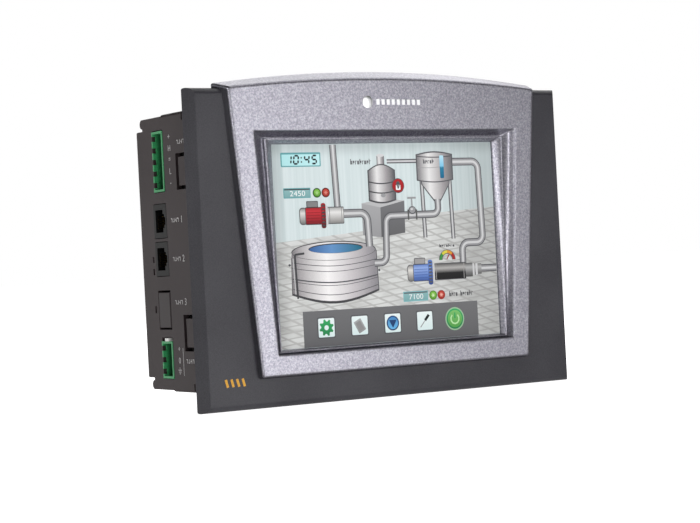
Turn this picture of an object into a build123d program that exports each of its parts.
"""HMI touch panel: a panel-mounted operator terminal with its controller behind the screen.

Frame: +X to the right as the operator sees it, +Y into the control cabinet, +Z up.
The origin is the centre of the panel cut-out, on the front face of the panel, where the
bezel's rear face lands. All lengths are millimetres.
"""
from build123d import *
import os

# ---- driving dimensions -------------------------------------------------------------
# front bezel
BEZEL_W = 197.0             # overall width
BEZEL_H = 136.4             # height of the rectangular frame, without the arched crown
BEZEL_T = 5.1               # rear face to front face
BEZEL_SIDE_SLOPE = 3.7      # how far each side leans in over the thickness
BEZEL_TOP_ROUND = 2.7       # how far the rounded top and bottom edges lean in
BEZEL_RIM = 1.5             # flat rim behind that rounding
BEZEL_CORNER_R = 1.0
BEZEL_EDGE_R = 0.5          # soft edge between the front face and the leaning sides

# raised boss and silver fascia: a trapezium under an arched top
FASCIA_RISE = 3.3           # bezel front face to fascia front face
FASCIA_TOP_HALF = 80.7
FASCIA_BOTTOM_HALF = 70.6
FASCIA_CORNER_DROP = 0.1    # the two top corners below the bezel's top
FASCIA_ARCH = 4.2           # rise of the arch between them
FASCIA_BOTTOM_CLIMB = 13.4  # lower edge above the bezel's bottom
FASCIA_CORNER_R = 1.2
FASCIA_SKIN = 0.8
FASCIA_EDGE = 0.6           # bevel round the fascia's front
BOSS_LEAN_TOP = 3.6         # from the fascia front back to the panel, the boss grows by these
BOSS_LEAN_BOTTOM = 1.3
BOSS_DROP = 2.1
CROWN_CLIMB = 2.2
CROWN_ARCH_GROWTH = 1.4

# window and screen
VIEW_HALF_W = 58.3
VIEW_HALF_H = 44.0
WINDOW_TOP_HALF = 68.6      # mouth of the coved recess round the screen
WINDOW_BOTTOM_HALF = 62.2
WINDOW_TOP_Z = 49.4
WINDOW_BOTTOM_Z = -46.0
WINDOW_LIP = ((0.0, 1.09), (0.04, 1.035), (0.12, 1.0))    # soft lip: shares of depth and width
COVE_SINKS = (0.35, 0.65, 0.87, 1.0)                      # depths where the scoop's ellipse is drawn
COLLAR_WALL = 1.5
COLLAR_GAP = 0.1
SCREEN_SETBACK = 5.1        # fascia front to touch glass
TOUCH_T = 1.8
TOUCH_OVERLAP_X = 4.2       # touch glass hidden behind the fascia, each side
TOUCH_OVERLAP_Z = 2.8
DUST_SEAL_T = 0.8
DUST_SEAL_W = 2.2

# liquid crystal module
LCD_W = 144.0
LCD_H = 104.6
LCD_FRAME_T = 0.5
LCD_GLASS_T = 1.8
LIGHT_GUIDE_T = 4.0
LIGHT_GUIDE_MARGIN = 5.0
LAMP_PITCH = 12.0           # lamps along the lower edge of the light guide
LAMP_W = 2.8
LCD_TRAY_T = 1.4
LCD_EAR_REACH = 8.5
LCD_EAR_W = 9.0
LCD_EAR_Z = 38.0
LCD_GAP = 0.3

# housing behind the panel
BEZEL_OVERLAP_X = 8.0       # bezel beyond the housing, each side
BEZEL_OVERLAP_Z = 7.8
SHELL_WALL = 2.6
SHELL_CORNER_R = 1.5
SHELL_SEAT = 1.5            # front shell let into the bezel
SEAM_Y = 36.3
SEAM_GAP = 0.6
REAR_STEP_X = 0.3           # rear shell is this much smaller, each side
REAR_STEP_Z = 0.7
LIP_T = 1.0
LIP_L = 2.3
LIP_GAP = 0.15
REAR_Y = 60.1               # rearmost face
TIER_L = 5.7                # rearmost tier stands this far behind the shell's shoulder
TIER_SETBACK = 5.2          # tier inside the shell, above and below
TIER_EDGE_R = 0.8
BEAD_H = 4.1                # rounded bead along the top and bottom rear edges
BEAD_PROUD = 2.2

# panel gasket in the bezel's rear face
GASKET_INSET = 2.6          # outer side of the ring to the bezel's edge
GASKET_W = 3.6
GASKET_T = 1.8
GASKET_R = 3.0
GASKET_GAP = 0.05

# board stack
SHIELD_Y = 24.0
SHIELD_T = 1.0
BOARD_FRONT_Y = 33.2
BOARD_T = 1.6
BOARD_GAP = 0.9
SHIELD_BOSS_R = 4.0
SHIELD_BOSS_GAP_X = 1.9     # boss to the housing's inner wall
SHIELD_BOSS_GAP_Z = 1.8
STANDOFF_INSET_X = 16.0     # standoffs inside the shield's bosses
STANDOFF_INSET_Z = 3.0
STANDOFF_R = 3.2
PILLAR_R = 4.6

# fasteners
M3_R = 1.5
M3_HEAD_R = 2.8
M3_HEAD_H = 2.2
M3_HEAD_Y = 50.0            # rear end of the sunk heads
M25_R = 1.25
M25_HEAD_R = 2.4
M25_HEAD_H = 1.6
SCREW_GAP = 0.05
HOLE_GAP = 0.2

# connectors on the left-hand side
PITCH = 5.08                # terminal header pitch
HEADER_END = 3.04           # half a pitch and the end wall
HEADER_T = 10.0
HEADER_L = 12.0
HEADER_WALL = 1.0
HEADER_CAVITY_L = 9.5
HEADER_PROUD = 0.2
PIN = 1.0
PIN_Y = 3.9                 # pin axis above the board
PIN_SETBACK = 1.8
KEYWAY_W = 2.3
KEYWAY_L = 1.8
CAN_WAYS = 5
CAN_Z = 40.2
POWER_WAYS = 3
POWER_Z = -46.5
KEY_T = 1.3                 # white coding piece on the power header
KEY_W = 3.4
KEY_L = 5.0
JACK_W = 14.7
JACK_T = 12.0
JACK_L = 17.0
JACK_CAVITY_W = 9.9
JACK_CAVITY_T = 6.9
JACK_CAVITY_L = 12.5
JACK_ROOF = 1.8             # wall over the contacts
JACK_LATCH_W = 6.1          # stepped slot for the plug's latch
JACK_LATCH_STEP = 1.2
JACK_SLOT_W = 3.4
JACK_SLOT_STEP = 2.2
PORT_1_Z = 14.2
PORT_2_Z = -2.4
PORT_3_Z = -24.7
CONTACTS = 6
CONTACT_PITCH = 1.02
CONTACT_T = 0.45
CONTACT_RISE = 2.2          # how far a wire leans into the cavity
CONTACT_SETBACK = 1.2
CONTACT_FLAT = 2.2
CONTACT_BACK = 2.5
PORT_GAP = 0.3
COVER_W = 15.6
COVER_T = 10.6
COVER_GAP_Z = 0.8
COVER_GAP_Y = 0.7
COVER_PLATE = 1.6
COVER_LEG = 5.0
COVER_LEG_T = 1.2
LATCH_Y = 49.6              # snap windows beside the ports
LATCH_W = 1.4
LATCH_SPANS = ((-3.7, -1.2), (-9.2, -6.4), (-26.0, -22.9))

# clamp slots in the sides of the front shell
CLAMP_Z = 34.75
CLAMP_H = 15.7
CLAMP_REAR_Y = 23.4
CLAMP_L = 13.4
CLAMP_SLIT = 1.7
CLAMP_REAR_SLIT = 2.4
CORNER_NOTCH_Y = 16.1
CORNER_NOTCH_W = 1.0
CORNER_NOTCH_H = 3.2

# rear module socket, right-hand expansion port and vents
SOCKET_HALF_W = 30.0
SOCKET_H = 12.0
SOCKET_Z = -20.0
SOCKET_WALL = 1.5
SOCKET_CAVITY_L = 8.0
SOCKET_TOP_Y = 58.5
STRIP_COUNT = 10
STRIP_W = 1.4
STRIP_T = 0.5
STRIP_PITCH = 5.2
CAP_RIM = 3.5
CAP_T = 1.1
CAP_REBATE = 1.3
CAP_GAP = 0.3
CAP_PLUG_L = 1.6
EXPANSION_Z = 4.0
VENTS = 21
VENT_PITCH = 5.5
VENT_W = 2.0
VENT_L = 9.0
VENT_Y = 44.5
PLATE_W = 96.0              # blank rating plate on the rear
PLATE_H = 34.0
PLATE_Z = 22.0
PLATE_T = 0.3

# flat cables
TAIL_W = 12.0
TAIL_X = 46.0
TAIL_T = 0.3
TAIL_BEND_R = 1.6
TAIL_ROOM = 1.2
RIBBON_W = 30.0
RIBBON_X = 28.0
RIBBON_Z = 30.0
RIBBON_T = 0.3
SOCKET_BLOCK_T = 2.4
SOCKET_BLOCK_H = 3.6

# parts on the board
CELL_R = 12.25
CELL_T = 5.0
CELL_X = 36.0
CELL_Z = 24.0
HOLDER_WALL = 1.6
HOLDER_FLOOR = 1.2
CLIP_T = 0.4
CLIP_HALF_W = 3.0
CAPACITORS = ((-50, -38, 5, 15), (-38, -38, 5, 15), (-26, -41, 4, 11), (-50, 34, 4, 11))
COIL_X = -58.0
COIL_Z = -20.0
COIL_R = 5.5
COIL_FLANGE_R = 7.0
COIL_FLANGE_T = 1.5
COIL_H = 9.5
FUSE_X = -68.0
FUSE_Z = -38.0
FUSE_R = 4.2
FUSE_H = 8.0
MEMORY_X = (-8, 4, 16)
INTERFACE_Z = (38, 26, 14, -2)

# ---- derived planes and sizes -------------------------------------------------------
BEZEL_FRONT_Y = -BEZEL_T
FASCIA_FRONT_Y = BEZEL_FRONT_Y - FASCIA_RISE
SKIN_BACK_Y = FASCIA_FRONT_Y + FASCIA_SKIN
TOUCH_FRONT_Y = FASCIA_FRONT_Y + SCREEN_SETBACK
TOUCH_BACK_Y = TOUCH_FRONT_Y + TOUCH_T
LCD_FRONT_Y = TOUCH_BACK_Y + DUST_SEAL_T
LCD_GLASS_Y = LCD_FRONT_Y + LCD_FRAME_T
GUIDE_Y = LCD_GLASS_Y + LCD_GLASS_T
TRAY_Y = GUIDE_Y + LIGHT_GUIDE_T
TRAY_BACK_Y = TRAY_Y + LCD_TRAY_T
BOARD_Y = BOARD_FRONT_Y + BOARD_T
SHIELD_BACK_Y = SHIELD_Y + SHIELD_T
TOUCH_HALF_W = VIEW_HALF_W + TOUCH_OVERLAP_X
TOUCH_HALF_H = VIEW_HALF_H + TOUCH_OVERLAP_Z
FASCIA_CORNER_Z = BEZEL_H / 2 - FASCIA_CORNER_DROP
FASCIA_BOTTOM_Z = FASCIA_BOTTOM_CLIMB - BEZEL_H / 2
SHELL_HALF_W = BEZEL_W / 2 - BEZEL_OVERLAP_X
SHELL_HALF_H = BEZEL_H / 2 - BEZEL_OVERLAP_Z
INNER_HALF_W = SHELL_HALF_W - SHELL_WALL
INNER_HALF_H = SHELL_HALF_H - SHELL_WALL
REAR_HALF_W = SHELL_HALF_W - REAR_STEP_X
REAR_HALF_H = SHELL_HALF_H - REAR_STEP_Z
TIER_HALF_H = REAR_HALF_H - TIER_SETBACK
REAR_FRONT_Y = SEAM_Y + SEAM_GAP / 2
FRONT_END_Y = SEAM_Y - SEAM_GAP / 2
SHOULDER_Y = REAR_Y - TIER_L
LEFT_X = -SHELL_HALF_W
BOARD_HALF_W = INNER_HALF_W - BOARD_GAP
BOARD_HALF_H = INNER_HALF_H - BOARD_GAP
LCD_EAR_X = LCD_W / 2 + LCD_EAR_REACH / 2
SHIELD_BOSS_X = INNER_HALF_W - SHIELD_BOSS_R - SHIELD_BOSS_GAP_X
SHIELD_BOSS_Z = INNER_HALF_H - SHIELD_BOSS_R - SHIELD_BOSS_GAP_Z
STANDOFF_X = SHIELD_BOSS_X - STANDOFF_INSET_X
STANDOFF_Z = SHIELD_BOSS_Z - STANDOFF_INSET_Z


# ---- drawing helpers ----------------------------------------------------------------
def facing(y):
    """Plane parallel to the panel at depth y, drawn on in X and Z."""
    return Plane(origin=(0, y, 0), x_dir=(1, 0, 0), z_dir=(0, -1, 0))


def slab(outline, front, back):
    """An outline in X and Z carried from depth front to depth back."""
    return extrude(facing(back) * outline, amount=back - front)


def side_slab(outline, low, high):
    """An outline in Y and Z carried across from x = low to x = high."""
    side = Plane(origin=(low, 0, 0), x_dir=(0, 1, 0), z_dir=(1, 0, 0))
    return extrude(side * outline, amount=high - low)


def block(x, y, z):
    """A box between pairs of limits along X, Y and Z."""
    size = Box(x[1] - x[0], y[1] - y[0], z[1] - z[0])
    return Pos((x[0] + x[1]) / 2, (y[0] + y[1]) / 2, (z[0] + z[1]) / 2) * size


def rod(x, z, front, back, radius):
    """A round bar along Y."""
    return slab(Pos(x, z) * Circle(radius), front, back)


def ring(half_w, half_h, wall, front, back, radius):
    """A rectangular ring whose outer half sizes are given."""
    outer = RectangleRounded(2 * half_w, 2 * half_h, radius)
    inner = Rectangle(2 * (half_w - wall), 2 * (half_h - wall))
    return slab(outer - inner, front, back)


def four(x, z):
    """The four places that mirror one another about both axes."""
    return [(sx * x, sz * z) for sx in (-1, 1) for sz in (-1, 1)]


def group(shapes):
    """Separate solids of one kind, kept together in one node."""
    whole = Part()
    for shape in shapes:
        whole += shape
    return whole


# ---- front ---------------------------------------------------------------------------
def boss_outline(depth):
    """Outline of the arched boss at a depth behind the fascia's front face."""
    share = depth / -FASCIA_FRONT_Y
    top_half = FASCIA_TOP_HALF + BOSS_LEAN_TOP * share
    bottom_half = FASCIA_BOTTOM_HALF + BOSS_LEAN_BOTTOM * share
    corner_z = FASCIA_CORNER_Z + CROWN_CLIMB * share
    crown_z = corner_z + FASCIA_ARCH + CROWN_ARCH_GROWTH * share
    bottom_z = FASCIA_BOTTOM_Z - BOSS_DROP * share
    edges = [
        Line((-top_half, corner_z), (-bottom_half, bottom_z)),
        Line((-bottom_half, bottom_z), (bottom_half, bottom_z)),
        Line((bottom_half, bottom_z), (top_half, corner_z)),
        ThreePointArc((top_half, corner_z), (0, crown_z), (-top_half, corner_z)),
    ]
    outline = make_face(edges)
    return fillet(outline.vertices(), FASCIA_CORNER_R)


def boss():
    """The whole raised boss with its crown, from the fascia's front to the panel."""
    return loft([facing(FASCIA_FRONT_Y) * boss_outline(0), facing(0) * boss_outline(-FASCIA_FRONT_Y)])


def boss_core():
    """The boss under the silver skin of its front and crown."""
    whole = boss()
    behind_skin = block((-BEZEL_W, BEZEL_W), (SKIN_BACK_Y, 1), (-BEZEL_H, BEZEL_H))
    return whole & (Pos(0, 0, -FASCIA_SKIN) * whole) & behind_skin


def window_outline(share, grow):
    """Recess outline: share 1 is its mouth in the fascia, share 0 is the edge of the view."""
    top_half = VIEW_HALF_W + (WINDOW_TOP_HALF - VIEW_HALF_W) * share + grow
    bottom_half = VIEW_HALF_W + (WINDOW_BOTTOM_HALF - VIEW_HALF_W) * share + grow
    top_z = VIEW_HALF_H + (WINDOW_TOP_Z - VIEW_HALF_H) * share + grow
    bottom_z = -VIEW_HALF_H + (WINDOW_BOTTOM_Z + VIEW_HALF_H) * share - grow
    return Polygon(
        (-top_half, top_z), (-bottom_half, bottom_z), (bottom_half, bottom_z), (top_half, top_z),
        align=None,
    )


def cove():
    """The scooped recess: a soft lip, steep behind it, flattening out on to the screen."""
    scoop = [(sink, (1 - sink ** 2) ** 0.5) for sink in COVE_SINKS]
    sections = []
    for sink, spread in [*WINDOW_LIP, *scoop]:
        sections.append(facing(FASCIA_FRONT_Y + SCREEN_SETBACK * sink) * window_outline(spread, 0))
    return loft(sections)


def fascia_trim():
    skin = boss() - boss_core()
    skin = chamfer(skin.faces().sort_by(Axis.Y)[0].outer_wire().edges(), FASCIA_EDGE)
    collar = slab(window_outline(1, COLLAR_WALL), SKIN_BACK_Y, TOUCH_FRONT_Y)
    return skin + collar - cove()


def bezel_plate():
    """The flat frame: leaning sides, rounded top and bottom edges, small corner radius."""
    half_w = BEZEL_W / 2
    half_h = BEZEL_H / 2
    lean = make_face(Polyline(
        (-half_w, 0), (half_w, 0), (half_w - BEZEL_SIDE_SLOPE, BEZEL_FRONT_Y),
        (BEZEL_SIDE_SLOPE - half_w, BEZEL_FRONT_Y), close=True,
    ))
    sides = extrude(Plane.XY.offset(-half_h) * lean, amount=BEZEL_H)
    front_half = half_h - BEZEL_TOP_ROUND
    upper = TangentArc((-BEZEL_RIM, half_h), (BEZEL_FRONT_Y, front_half), tangent=(-1, 0))
    lower = TangentArc((-BEZEL_RIM, -half_h), (BEZEL_FRONT_Y, -front_half), tangent=(-1, 0))
    profile = make_face([
        Line((0, -half_h), (0, half_h)), Line((0, half_h), (-BEZEL_RIM, half_h)), upper,
        Line((BEZEL_FRONT_Y, front_half), (BEZEL_FRONT_Y, -front_half)), lower,
        Line((-BEZEL_RIM, -half_h), (0, -half_h)),
    ])
    rounded = side_slab(profile, -half_w, half_w)
    corners = slab(RectangleRounded(BEZEL_W, BEZEL_H, BEZEL_CORNER_R), BEZEL_FRONT_Y, 0)
    plate = sides & rounded & corners
    return fillet(plate.faces().sort_by(Axis.Y)[0].outer_wire().edges(), BEZEL_EDGE_R)


def front_bezel():
    body = bezel_plate() + boss_core()
    body -= slab(window_outline(1, COLLAR_WALL + COLLAR_GAP), FASCIA_FRONT_Y, TOUCH_FRONT_Y)
    touch_w = 2 * (TOUCH_HALF_W + COLLAR_GAP)
    touch_h = 2 * (TOUCH_HALF_H + COLLAR_GAP)
    body -= slab(Rectangle(touch_w, touch_h), TOUCH_FRONT_Y, LCD_FRONT_Y)
    body -= slab(Rectangle(LCD_W + 2 * LCD_GAP, LCD_H + 2 * LCD_GAP), LCD_FRONT_Y, 0)
    seat_w = SHELL_HALF_W + LIP_GAP
    seat_h = SHELL_HALF_H + LIP_GAP
    body -= ring(seat_w, seat_h, SHELL_WALL + 2 * LIP_GAP, -SHELL_SEAT, 0, SHELL_CORNER_R)
    body -= gasket_ring(GASKET_GAP)
    for x, z in four(SHIELD_BOSS_X, SHIELD_BOSS_Z):
        body += rod(x, z, 0, SHIELD_Y, SHIELD_BOSS_R)
        body -= rod(x, z, SHIELD_Y / 2 - 2, SHIELD_Y, M25_R + SCREW_GAP)
    for x, z in four(LCD_EAR_X, LCD_EAR_Z):
        body += rod(x, z, 0, TRAY_Y, LCD_EAR_W / 2 - 1)
        body -= rod(x, z, LCD_FRONT_Y, TRAY_Y, M25_R + SCREW_GAP)
    tail_low = LCD_H / 2 + LCD_GAP + TAIL_ROOM + TAIL_BEND_R
    passage_x = (TAIL_X - TAIL_W / 2 - TAIL_ROOM, TAIL_X + TAIL_W / 2 + TAIL_ROOM)
    body -= block(passage_x, (TOUCH_FRONT_Y + 0.4, 0), (-tail_low, -TOUCH_HALF_H))
    return body


def gasket_ring(gap):
    half_w = BEZEL_W / 2 - GASKET_INSET + gap
    half_h = BEZEL_H / 2 - GASKET_INSET + gap
    outer = RectangleRounded(2 * half_w, 2 * half_h, GASKET_R)
    wall = GASKET_W + 2 * gap
    inner = RectangleRounded(2 * (half_w - wall), 2 * (half_h - wall), GASKET_R / 2)
    return slab(outer - inner, -GASKET_T, 0)


# ---- screen --------------------------------------------------------------------------
def touch_glass():
    return slab(Rectangle(2 * TOUCH_HALF_W, 2 * TOUCH_HALF_H), TOUCH_FRONT_Y, TOUCH_BACK_Y)


def dust_seal():
    return ring(TOUCH_HALF_W, TOUCH_HALF_H, DUST_SEAL_W, TOUCH_BACK_Y, LCD_FRONT_Y, 1)


def lcd_frame():
    """Folded steel frame: a flat front with the view cut out, and a skirt round the module."""
    front = slab(Rectangle(LCD_W, LCD_H) - Rectangle(2 * VIEW_HALF_W + 2, 2 * VIEW_HALF_H + 2),
                 LCD_FRONT_Y, LCD_GLASS_Y)
    skirt = ring(LCD_W / 2, LCD_H / 2, LCD_FRAME_T, LCD_GLASS_Y, TRAY_Y - LCD_GAP, 0.2)
    return front + skirt


def lcd_glass():
    return slab(Rectangle(LCD_W - 4, LCD_H - 4), LCD_GLASS_Y, GUIDE_Y)


def light_guide():
    return slab(Rectangle(LCD_W - 2 * LIGHT_GUIDE_MARGIN, LCD_H - 2 * LIGHT_GUIDE_MARGIN), GUIDE_Y, TRAY_Y)


def backlight_strip():
    """A narrow lighting board along the lower edge of the light guide."""
    low = LIGHT_GUIDE_MARGIN - LCD_H / 2
    half = LCD_W / 2 - LIGHT_GUIDE_MARGIN
    strip = block((-half, half), (GUIDE_Y + 0.5, TRAY_Y), (low - 1.6, low - 0.8))
    each_side = int(half // LAMP_PITCH)
    lamps = []
    for n in range(-each_side, each_side + 1):
        x = n * LAMP_PITCH
        lamps.append(block((x - LAMP_W / 2, x + LAMP_W / 2), (GUIDE_Y + 1.2, TRAY_Y - 0.6), (low - 0.8, low)))
    return strip + lamps


def lcd_tray():
    """Rear tray of the module, with four ears for its screws."""
    rim_w = LCD_W / 2 - LCD_FRAME_T - LCD_GAP
    rim_h = LCD_H / 2 - LCD_FRAME_T - LCD_GAP
    tray = slab(Rectangle(LCD_W, LCD_H), TRAY_Y, TRAY_BACK_Y)
    tray += ring(rim_w, rim_h, 1.2, GUIDE_Y, TRAY_Y, 0.5)
    for x, z in four(LCD_EAR_X, LCD_EAR_Z):
        tray += slab(Pos(x, z) * Rectangle(LCD_EAR_REACH + 1, LCD_EAR_W), TRAY_Y, TRAY_BACK_Y)
    for x, z in four(LCD_EAR_X, LCD_EAR_Z):
        tray -= rod(x, z, TRAY_Y, TRAY_BACK_Y, M25_R + HOLE_GAP)
    return tray


def pan_screw(x, z, seat, depth, radius, head_r, head_h):
    """A cross-recessed pan-head screw driven towards the front of the panel."""
    screw = rod(x, z, seat - depth, seat, radius) + rod(x, z, seat, seat + head_h, head_r)
    screw = fillet(screw.faces().sort_by(Axis.Y)[-1].edges(), head_h / 3)
    slot_w = head_r / 4
    slot_l = head_r * 0.62
    sink = (seat + head_h * 0.45, seat + head_h)
    screw -= block((x - slot_l, x + slot_l), sink, (z - slot_w, z + slot_w))
    screw -= block((x - slot_w, x + slot_w), sink, (z - slot_l, z + slot_l))
    return screw


def lcd_screws():
    depth = LCD_TRAY_T + TRAY_Y - 0.5
    return group(pan_screw(x, z, TRAY_BACK_Y, depth, M25_R, M25_HEAD_R, M25_HEAD_H)
                 for x, z in four(LCD_EAR_X, LCD_EAR_Z))


def touch_tail():
    """Flat tail of the touch glass: down past the module, then back to the board."""
    leave_y = TOUCH_BACK_Y - TAIL_T
    down_z = -(LCD_H / 2 + LCD_GAP + TAIL_ROOM)
    end_y = BOARD_FRONT_Y - 0.2
    band = Polygon(
        (leave_y, -TOUCH_HALF_H), (leave_y, down_z - TAIL_T), (end_y, down_z - TAIL_T),
        (end_y, down_z), (TOUCH_BACK_Y, down_z), (TOUCH_BACK_Y, -TOUCH_HALF_H), align=None,
    )
    bend = [v for v in band.vertices() if v.Y < down_z + 0.1 and v.X < 0]
    for vertex in bend:
        sharp = min(band.vertices(), key=lambda v: (v.center() - vertex.center()).length)
        outside = vertex.X < TOUCH_BACK_Y - TAIL_T / 2
        band = fillet(sharp, TAIL_BEND_R if outside else TAIL_BEND_R - TAIL_T)
    return side_slab(band, TAIL_X - TAIL_W / 2, TAIL_X + TAIL_W / 2)


def flat_socket(x, z, width, front, back, room):
    """A socket for a flat cable: a bar with a slit along it."""
    bar = block((x - width / 2 - 2, x + width / 2 + 2), (front, back),
                (z - SOCKET_BLOCK_H / 2, z + SOCKET_BLOCK_H / 2))
    slit = block((x - width / 2 - 0.1, x + width / 2 + 0.1), room, (z - 0.25, z + 0.25))
    return bar - slit


def cable_sockets():
    """Sockets of the two flat cables: one on the module, two on the board."""
    tail_z = -(LCD_H / 2 + LCD_GAP + TAIL_ROOM + TAIL_T / 2)
    board_side = (BOARD_FRONT_Y - SOCKET_BLOCK_T, BOARD_FRONT_Y)
    module_side = (TRAY_BACK_Y, TRAY_BACK_Y + SOCKET_BLOCK_T)
    return group([
        flat_socket(TAIL_X, tail_z, TAIL_W, *board_side, board_side),
        flat_socket(RIBBON_X, RIBBON_Z, RIBBON_W, *board_side, board_side),
        flat_socket(RIBBON_X, RIBBON_Z, RIBBON_W, *module_side, module_side),
    ])


def display_ribbon():
    return block((RIBBON_X - RIBBON_W / 2, RIBBON_X + RIBBON_W / 2),
                 (TRAY_BACK_Y + 0.2, BOARD_FRONT_Y - 0.2),
                 (RIBBON_Z - RIBBON_T / 2, RIBBON_Z + RIBBON_T / 2))


# ---- housing -------------------------------------------------------------------------
def header_height(ways):
    return (ways - 1) * PITCH + 2 * HEADER_END


def side_cuts():
    """Openings for everything that comes out through the left-hand wall."""
    across = (LEFT_X - 1, LEFT_X + SHELL_WALL + 1)
    front = BOARD_Y - PORT_GAP
    cuts = []
    for ways, z, above in ((CAN_WAYS, CAN_Z, 0.5), (POWER_WAYS, POWER_Z, KEY_T + PORT_GAP)):
        half = header_height(ways) / 2
        rear = BOARD_Y + HEADER_T + PORT_GAP
        cuts.append(block(across, (front, rear), (z - half - PORT_GAP, z + half + above)))
    for z in (PORT_1_Z, PORT_2_Z):
        half = JACK_W / 2 + PORT_GAP
        cuts.append(block(across, (front, BOARD_Y + JACK_T + PORT_GAP), (z - half, z + half)))
    half = COVER_W / 2 + COVER_GAP_Z
    rear = BOARD_Y + COVER_GAP_Y + COVER_T + COVER_GAP_Y
    cuts.append(block(across, (front, rear), (PORT_3_Z - half, PORT_3_Z + half)))
    for span in LATCH_SPANS:
        cuts.append(block(across, (LATCH_Y - LATCH_W / 2, LATCH_Y + LATCH_W / 2), span))
    return cuts


def expansion_cut():
    half = COVER_W / 2 + COVER_GAP_Z
    rear = BOARD_Y + COVER_GAP_Y + COVER_T + COVER_GAP_Y
    across = (-LEFT_X - SHELL_WALL - 1, -LEFT_X + 1)
    return block(across, (BOARD_Y - PORT_GAP, rear), (EXPANSION_Z - half, EXPANSION_Z + half))


def clamp_slot(side, z):
    """Three slits round a tongue, open towards the panel, that the mounting clamp hooks into."""
    wall = (SHELL_HALF_W - SHELL_WALL - 1, SHELL_HALF_W + 1)
    x = wall if side > 0 else (-wall[1], -wall[0])
    half = CLAMP_H / 2
    front = CLAMP_REAR_Y - CLAMP_L
    cuts = [block(x, (CLAMP_REAR_Y - CLAMP_REAR_SLIT, CLAMP_REAR_Y), (z - half, z + half))]
    for edge in (z - half, z + half - CLAMP_SLIT):
        cuts.append(block(x, (front, CLAMP_REAR_Y), (edge, edge + CLAMP_SLIT)))
    return cuts


def front_shell():
    """Open-ended case behind the panel, let into the bezel and tongued into the rear shell."""
    outer = RectangleRounded(2 * SHELL_HALF_W, 2 * SHELL_HALF_H, SHELL_CORNER_R)
    hollow = Rectangle(2 * INNER_HALF_W, 2 * INNER_HALF_H)
    shell = slab(outer - hollow, -SHELL_SEAT, FRONT_END_Y)
    tongue_w = 2 * (REAR_HALF_W - LIP_T - LIP_GAP)
    tongue_h = 2 * (REAR_HALF_H - LIP_T - LIP_GAP)
    tongue_end = REAR_FRONT_Y + LIP_L - LIP_GAP
    shell += slab(Rectangle(tongue_w, tongue_h) - hollow, FRONT_END_Y, tongue_end)
    for cut in side_cuts():
        shell -= cut
    shell -= expansion_cut()
    for side in (-1, 1):
        for z in (-CLAMP_Z, CLAMP_Z):
            shell -= clamp_slot(side, z)
    notch_y = (CORNER_NOTCH_Y - CORNER_NOTCH_W / 2, CORNER_NOTCH_Y + CORNER_NOTCH_W / 2)
    for side in (-1, 1):
        for end in (-1, 1):
            x = sorted((side * (SHELL_HALF_W - 1.2), side * (SHELL_HALF_W + 1)))
            z = sorted((end * (SHELL_HALF_H - CORNER_NOTCH_H - 0.7), end * (SHELL_HALF_H - 0.7)))
            shell -= block(x, notch_y, z)
    return shell


def rear_profile():
    """Side outline of the rear shell: shoulder, rounded beads and rearmost tier."""
    main = Pos((REAR_FRONT_Y + SHOULDER_Y) / 2, 0) * Rectangle(SHOULDER_Y - REAR_FRONT_Y, 2 * REAR_HALF_H)
    tier = Pos(SHOULDER_Y, 0) * Rectangle(2 * TIER_L, 2 * TIER_HALF_H)
    tier = fillet(tier.vertices(), TIER_EDGE_R)
    profile = main + tier
    bead_l = 2 * BEAD_H
    for end in (-1, 1):
        place = Pos(SHOULDER_Y + BEAD_PROUD - bead_l / 2, end * (REAR_HALF_H - BEAD_H / 2))
        profile += place * RectangleRounded(bead_l, BEAD_H, 0.48 * BEAD_H)
    return profile


def rear_shell():
    shell = side_slab(rear_profile(), -REAR_HALF_W, REAR_HALF_W)
    inner_w = REAR_HALF_W - SHELL_WALL
    inner_h = REAR_HALF_H - SHELL_WALL
    shell -= slab(Rectangle(2 * inner_w, 2 * inner_h), REAR_FRONT_Y, SHOULDER_Y - SHELL_WALL)
    shell -= slab(Rectangle(2 * inner_w, 2 * (TIER_HALF_H - SHELL_WALL)), REAR_FRONT_Y, REAR_Y - SHELL_WALL)
    rebate = Rectangle(2 * (REAR_HALF_W - LIP_T), 2 * (REAR_HALF_H - LIP_T))
    shell -= slab(rebate, REAR_FRONT_Y, REAR_FRONT_Y + LIP_L)
    for x, z in four(STANDOFF_X, STANDOFF_Z):
        shell += rod(x, z, BOARD_Y, REAR_Y - SHELL_WALL, PILLAR_R)
        shell -= rod(x, z, BOARD_Y, REAR_Y, M3_R + HOLE_GAP)
        shell -= rod(x, z, M3_HEAD_Y - M3_HEAD_H, REAR_Y, M3_HEAD_R + HOLE_GAP)
    for cut in side_cuts():
        shell -= cut
    shell -= expansion_cut()
    for count in range(VENTS):
        x = (count - (VENTS - 1) / 2) * VENT_PITCH
        for end in (-1, 1):
            z = sorted((end * (REAR_HALF_H - SHELL_WALL - 0.5), end * (REAR_HALF_H + 1)))
            width = (x - VENT_W / 2, x + VENT_W / 2)
            shell -= block(width, (VENT_Y - VENT_L / 2, VENT_Y + VENT_L / 2), z)
    shell -= slab(Pos(0, SOCKET_Z) * Rectangle(2 * SOCKET_HALF_W + 1, SOCKET_H + 1), BOARD_Y, REAR_Y)
    cap_w = 2 * (SOCKET_HALF_W + CAP_RIM)
    shell -= slab(Pos(0, SOCKET_Z) * RectangleRounded(cap_w, SOCKET_H + 2 * CAP_RIM, 2),
                  REAR_Y - CAP_REBATE, REAR_Y)
    shell -= slab(Pos(cap_w / 2, SOCKET_Z) * Circle(4), REAR_Y - CAP_REBATE - 0.6, REAR_Y)
    shell -= slab(Pos(0, PLATE_Z) * RectangleRounded(PLATE_W + 0.4, PLATE_H + 0.4, 1.2),
                  REAR_Y - PLATE_T, REAR_Y)
    return shell


def rating_plate():
    return slab(Pos(0, PLATE_Z) * RectangleRounded(PLATE_W, PLATE_H, 1), REAR_Y - PLATE_T, REAR_Y)


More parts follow.
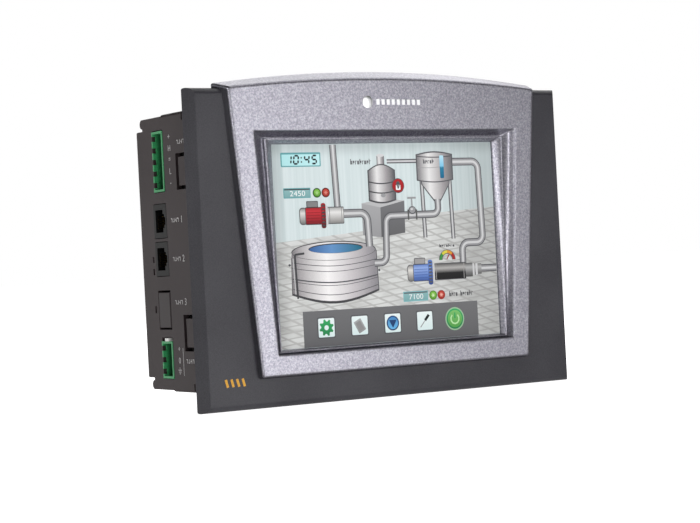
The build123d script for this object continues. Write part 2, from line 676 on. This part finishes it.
def housing_screws():
    seat = M3_HEAD_Y - M3_HEAD_H
    depth = seat - SHIELD_BACK_Y - 0.6
    return group(pan_screw(x, z, seat, depth, M3_R, M3_HEAD_R, M3_HEAD_H)
                 for x, z in four(STANDOFF_X, STANDOFF_Z))


# ---- shield and board ----------------------------------------------------------------
def shield_plate():
    plate = slab(RectangleRounded(2 * BOARD_HALF_W, 2 * BOARD_HALF_H, 2), SHIELD_Y, SHIELD_BACK_Y)
    for x, z in four(SHIELD_BOSS_X, SHIELD_BOSS_Z):
        plate -= rod(x, z, SHIELD_Y, SHIELD_BACK_Y, M25_R + HOLE_GAP)
    tail_z = -(LCD_H / 2 + LCD_GAP + TAIL_ROOM + TAIL_T / 2)
    for x, z, width in ((TAIL_X, tail_z, TAIL_W), (RIBBON_X, RIBBON_Z, RIBBON_W)):
        plate -= slab(Pos(x, z) * Rectangle(width + 3, 3), SHIELD_Y, SHIELD_BACK_Y)
    for column in range(-3, 4):
        for row in (-1, 0, 1):
            plate -= rod(column * 8, row * 8 - 8, SHIELD_Y, SHIELD_BACK_Y, 2)
    return plate


def shield_screws():
    depth = SHIELD_T + SHIELD_Y / 2 - 1
    return group(pan_screw(x, z, SHIELD_BACK_Y, depth, M25_R, M25_HEAD_R, M25_HEAD_H)
                 for x, z in four(SHIELD_BOSS_X, SHIELD_BOSS_Z))


def board_standoffs():
    hexagon = RegularPolygon(STANDOFF_R, 6) - Circle(M3_R + SCREW_GAP)
    return group(slab(Pos(x, z) * hexagon, SHIELD_BACK_Y, BOARD_FRONT_Y)
                 for x, z in four(STANDOFF_X, STANDOFF_Z))


def pin_places(ways, centre):
    return [centre + (n - (ways - 1) / 2) * PITCH for n in range(ways)]


def main_board():
    board = slab(RectangleRounded(2 * BOARD_HALF_W, 2 * BOARD_HALF_H, 2), BOARD_FRONT_Y, BOARD_Y)
    for x, z in four(STANDOFF_X, STANDOFF_Z):
        board -= rod(x, z, BOARD_FRONT_Y, BOARD_Y, M3_R + HOLE_GAP)
    leg_x = LEFT_X - HEADER_PROUD + HEADER_L + PIN / 2
    for z in pin_places(CAN_WAYS, CAN_Z) + pin_places(POWER_WAYS, POWER_Z):
        board -= rod(leg_x, z, BOARD_FRONT_Y, BOARD_Y, PIN * 0.5 ** 0.5 + 0.1)
    return board


def terminal_header(ways, centre):
    """Shrouded header with a keyway over each pin."""
    half = header_height(ways) / 2
    mouth = LEFT_X - HEADER_PROUD
    body = block((mouth, mouth + HEADER_L), (BOARD_Y, BOARD_Y + HEADER_T), (centre - half, centre + half))
    body -= block((mouth, mouth + HEADER_CAVITY_L),
                  (BOARD_Y + HEADER_WALL, BOARD_Y + HEADER_T - HEADER_WALL),
                  (centre - half + HEADER_WALL, centre + half - HEADER_WALL))
    grip = PIN / 2 + SCREW_GAP
    for z in pin_places(ways, centre):
        rear = (BOARD_Y + HEADER_T - HEADER_WALL, BOARD_Y + HEADER_T)
        body -= block((mouth, mouth + KEYWAY_L), rear, (z - KEYWAY_W / 2, z + KEYWAY_W / 2))
        axis = BOARD_Y + PIN_Y
        through = (mouth + HEADER_CAVITY_L, mouth + HEADER_L)
        body -= block(through, (axis - grip, axis + grip), (z - grip, z + grip))
    return body


def header_pins(ways, centre):
    """Square pins, bent behind the shroud and down through the board."""
    mouth = LEFT_X - HEADER_PROUD
    axis = BOARD_Y + PIN_Y
    pins = []
    for z in pin_places(ways, centre):
        across = (z - PIN / 2, z + PIN / 2)
        level = (axis - PIN / 2, axis + PIN / 2)
        bar = block((mouth + PIN_SETBACK, mouth + HEADER_L + PIN), level, across)
        leg_x = (mouth + HEADER_L, mouth + HEADER_L + PIN)
        pins.append(bar + block(leg_x, (BOARD_FRONT_Y - 1.4, level[1]), across))
    return group(pins)


def power_key():
    half = header_height(POWER_WAYS) / 2
    mouth = LEFT_X - HEADER_PROUD
    middle = BOARD_Y + HEADER_T / 2
    return block((mouth, mouth + KEY_L), (middle - KEY_W / 2, middle + KEY_W / 2),
                 (POWER_Z + half, POWER_Z + half + KEY_T))


def modular_jack(mouth, z, length):
    """Modular jack: a square mouth whose stepped slot for the plug's latch is next to the board."""
    roof = BOARD_Y + JACK_T - JACK_ROOF
    floor = roof - JACK_CAVITY_T
    deep = (mouth, mouth + JACK_CAVITY_L)
    jack = block((mouth, mouth + length), (BOARD_Y, BOARD_Y + JACK_T), (z - JACK_W / 2, z + JACK_W / 2))
    for width, sink in ((JACK_CAVITY_W, 0), (JACK_LATCH_W, JACK_LATCH_STEP), (JACK_SLOT_W, JACK_SLOT_STEP)):
        jack -= block(deep, (floor - sink, roof), (z - width / 2, z + width / 2))
    return jack


def jack_contacts(mouth, z):
    """Gold spring wires that slope down from the roof of a modular jack."""
    roof = BOARD_Y + JACK_T - JACK_ROOF
    front = mouth + CONTACT_SETBACK
    bend = front + CONTACT_FLAT
    back = mouth + JACK_CAVITY_L - CONTACT_BACK
    wire = Polygon(
        (front, roof), (bend, roof), (back, roof - CONTACT_RISE + CONTACT_T), (back, roof - CONTACT_RISE),
        (bend - CONTACT_T / 2, roof - CONTACT_T), (front, roof - CONTACT_T), align=None,
    )
    wires = []
    for n in range(CONTACTS):
        low = z + (n - (CONTACTS - 1) / 2) * CONTACT_PITCH - CONTACT_T / 2
        wires.append(extrude(Plane.XY.offset(low) * wire, amount=CONTACT_T))
    return group(wires)


def port_cover(z):
    """Snap-in blank for an unused port: a plate with two legs, on the left-hand side."""
    front = BOARD_Y + COVER_GAP_Y
    rear = front + COVER_T
    half = COVER_W / 2
    cover = block((LEFT_X, LEFT_X + COVER_PLATE), (front, rear), (z - half, z + half))
    cover = chamfer(cover.faces().sort_by(Axis.X)[0].edges(), 0.3)
    for end in (-1, 1):
        outer = z + end * half
        legs = sorted((outer, outer - end * COVER_LEG_T))
        middle = (front + rear) / 2
        cover += block((LEFT_X + COVER_PLATE, LEFT_X + COVER_PLATE + COVER_LEG),
                       (middle - 2.5, middle + 2.5), legs)
    return cover


def port_3_socket():
    """Bare pin header left on the board for the optional third port."""
    back = LEFT_X + COVER_PLATE + COVER_LEG + 1
    base = block((back, back + 8), (BOARD_Y, BOARD_Y + 2.5), (PORT_3_Z - 5.5, PORT_3_Z + 5.5))
    pins = []
    for row in (2.7, 5.3):
        for n in range(4):
            pins.append(rod(back + row, PORT_3_Z + (n - 1.5) * 2.54, BOARD_Y + 2.5, BOARD_Y + 8.5, 0.32))
    return base + pins


# ---- rear module socket ----------------------------------------------------------------
def module_socket():
    low = SOCKET_Z - SOCKET_H / 2
    high = SOCKET_Z + SOCKET_H / 2
    body = block((-SOCKET_HALF_W, SOCKET_HALF_W), (BOARD_Y, SOCKET_TOP_Y), (low, high))
    inner = SOCKET_HALF_W - SOCKET_WALL
    return body - block((-inner, inner), (SOCKET_TOP_Y - SOCKET_CAVITY_L, SOCKET_TOP_Y),
                        (low + SOCKET_WALL, high - SOCKET_WALL))


def module_contacts():
    """Two rows of flat contacts against the walls of the rear socket."""
    bottom = SOCKET_TOP_Y - SOCKET_CAVITY_L
    strips = []
    for n in range(STRIP_COUNT):
        x = (n - (STRIP_COUNT - 1) / 2) * STRIP_PITCH
        for end in (-1, 1):
            wall = SOCKET_Z + end * (SOCKET_H / 2 - SOCKET_WALL)
            z = sorted((wall, wall - end * STRIP_T))
            strips.append(block((x - STRIP_W / 2, x + STRIP_W / 2), (bottom, bottom + 5), z))
    return group(strips)


def module_cap():
    """Snap-in cap that closes the rear socket, flush in its rebate."""
    width = 2 * (SOCKET_HALF_W + CAP_RIM - CAP_GAP)
    height = SOCKET_H + 2 * (CAP_RIM - CAP_GAP)
    plate = slab(Pos(0, SOCKET_Z) * RectangleRounded(width, height, 1.8), REAR_Y - CAP_T, REAR_Y)
    plug_w = 2 * (SOCKET_HALF_W - SOCKET_WALL - CAP_GAP)
    plug_h = SOCKET_H - 2 * (SOCKET_WALL + CAP_GAP)
    plug = Rectangle(plug_w, plug_h) - Rectangle(plug_w - 2.4, plug_h - 2.4)
    low = REAR_Y - CAP_T
    return plate + slab(Pos(0, SOCKET_Z) * plug, low - CAP_PLUG_L, low)


# ---- parts on the board ----------------------------------------------------------------
def chip(x, z, width, height, thick, legs):
    """Flat square package with gull-wing legs along all four sides."""
    body = block((x - width / 2, x + width / 2), (BOARD_Y, BOARD_Y + thick), (z - height / 2, z + height / 2))
    pitch = 0.8 * width / legs
    for n in range(legs):
        along = (n - (legs - 1) / 2) * pitch
        for end in (-1, 1):
            wing = sorted((z + end * height / 2, z + end * (height / 2 + 1)))
            body += block((x + along - pitch / 4, x + along + pitch / 4), (BOARD_Y, BOARD_Y + 0.4), wing)
    return body


def capacitors():
    cans = []
    for x, z, radius, height in CAPACITORS:
        can = rod(x, z, BOARD_Y, BOARD_Y + height, radius)
        cans.append(fillet(can.faces().sort_by(Axis.Y)[-1].edges(), 0.6))
    return group(cans)


def power_coil():
    """Drum core: two flanges and the winding between them."""
    top = BOARD_Y + COIL_H
    coil = rod(COIL_X, COIL_Z, BOARD_Y, top, COIL_R)
    for low in (BOARD_Y, top - COIL_FLANGE_T):
        coil += rod(COIL_X, COIL_Z, low, low + COIL_FLANGE_T, COIL_FLANGE_R)
    return coil


def power_fuse():
    fuse = rod(FUSE_X, FUSE_Z, BOARD_Y, BOARD_Y + FUSE_H, FUSE_R)
    return fillet(fuse.faces().sort_by(Axis.Y)[-1].edges(), 0.5)


def battery_holder():
    cup = rod(CELL_X, CELL_Z, BOARD_Y, BOARD_Y + HOLDER_FLOOR + CELL_T, CELL_R + HOLDER_WALL)
    cup -= rod(CELL_X, CELL_Z, BOARD_Y + HOLDER_FLOOR, BOARD_Y + HOLDER_FLOOR + CELL_T, CELL_R + 0.1)
    return cup


def battery_cell():
    low = BOARD_Y + HOLDER_FLOOR
    cell = rod(CELL_X, CELL_Z, low, low + CELL_T, CELL_R)
    return chamfer(cell.faces().sort_by(Axis.Y)[-1].edges(), 0.4)


def battery_clip():
    """Bent strip that crosses the cell and holds it down in the cup."""
    low = BOARD_Y + HOLDER_FLOOR + CELL_T
    reach = CELL_R + HOLDER_WALL
    across = (CELL_X - CLIP_HALF_W, CELL_X + CLIP_HALF_W)
    strap = block(across, (low, low + CLIP_T), (CELL_Z - reach, CELL_Z + reach + CLIP_T))
    foot = block(across, (BOARD_Y, low), (CELL_Z + reach, CELL_Z + reach + CLIP_T))
    return strap + foot


RIGHT_MOUTH = LEFT_X + COVER_PLATE + COVER_LEG + 0.3
right_side = Plane.YZ

NODES = {
    "front_bezel": front_bezel(),
    "fascia_trim": fascia_trim(),
    "panel_gasket": gasket_ring(0),
    "touch_glass": touch_glass(),
    "touch_tail": touch_tail(),
    "dust_seal": dust_seal(),
    "lcd_frame": lcd_frame(),
    "lcd_glass": lcd_glass(),
    "light_guide": light_guide(),
    "backlight_strip": backlight_strip(),
    "lcd_tray": lcd_tray(),
    "lcd_screws": lcd_screws(),
    "cable_sockets": cable_sockets(),
    "display_ribbon": display_ribbon(),
    "front_shell": front_shell(),
    "rear_shell": rear_shell(),
    "housing_screws": housing_screws(),
    "rating_plate": rating_plate(),
    "shield_plate": shield_plate(),
    "shield_screws": shield_screws(),
    "board_standoffs": board_standoffs(),
    "main_board": main_board(),
    "processor": chip(0, 25, 24, 24, 2.2, 20),
    "memory_chips": group(chip(x, -1, 8, 18, 1.4, 8) for x in MEMORY_X),
    "interface_chips": group(chip(-64, z, 6, 5, 1.6, 4) for z in INTERFACE_Z),
    "capacitors": capacitors(),
    "power_coil": power_coil(),
    "power_fuse": power_fuse(),
    "battery_holder": battery_holder(),
    "battery_cell": battery_cell(),
    "battery_clip": battery_clip(),
    "can_header": terminal_header(CAN_WAYS, CAN_Z),
    "can_pins": header_pins(CAN_WAYS, CAN_Z),
    "power_header": terminal_header(POWER_WAYS, POWER_Z),
    "power_pins": header_pins(POWER_WAYS, POWER_Z),
    "power_key": power_key(),
    "port_1_jack": modular_jack(LEFT_X, PORT_1_Z, JACK_L),
    "port_1_contacts": jack_contacts(LEFT_X, PORT_1_Z),
    "port_2_jack": modular_jack(LEFT_X, PORT_2_Z, JACK_L),
    "port_2_contacts": jack_contacts(LEFT_X, PORT_2_Z),
    "port_3_cover": port_cover(PORT_3_Z),
    "port_3_socket": port_3_socket(),
    "expansion_jack": mirror(modular_jack(RIGHT_MOUTH, EXPANSION_Z, JACK_L), about=right_side),
    "expansion_contacts": mirror(jack_contacts(RIGHT_MOUTH, EXPANSION_Z), about=right_side),
    "expansion_cover": mirror(port_cover(EXPANSION_Z), about=right_side),
    "module_socket": module_socket(),
    "module_contacts": module_contacts(),
    "module_cap": module_cap(),
}

os.makedirs("parts", exist_ok=True)
for node, shape in NODES.items():
    export_step(shape, f"parts/{node}.step")
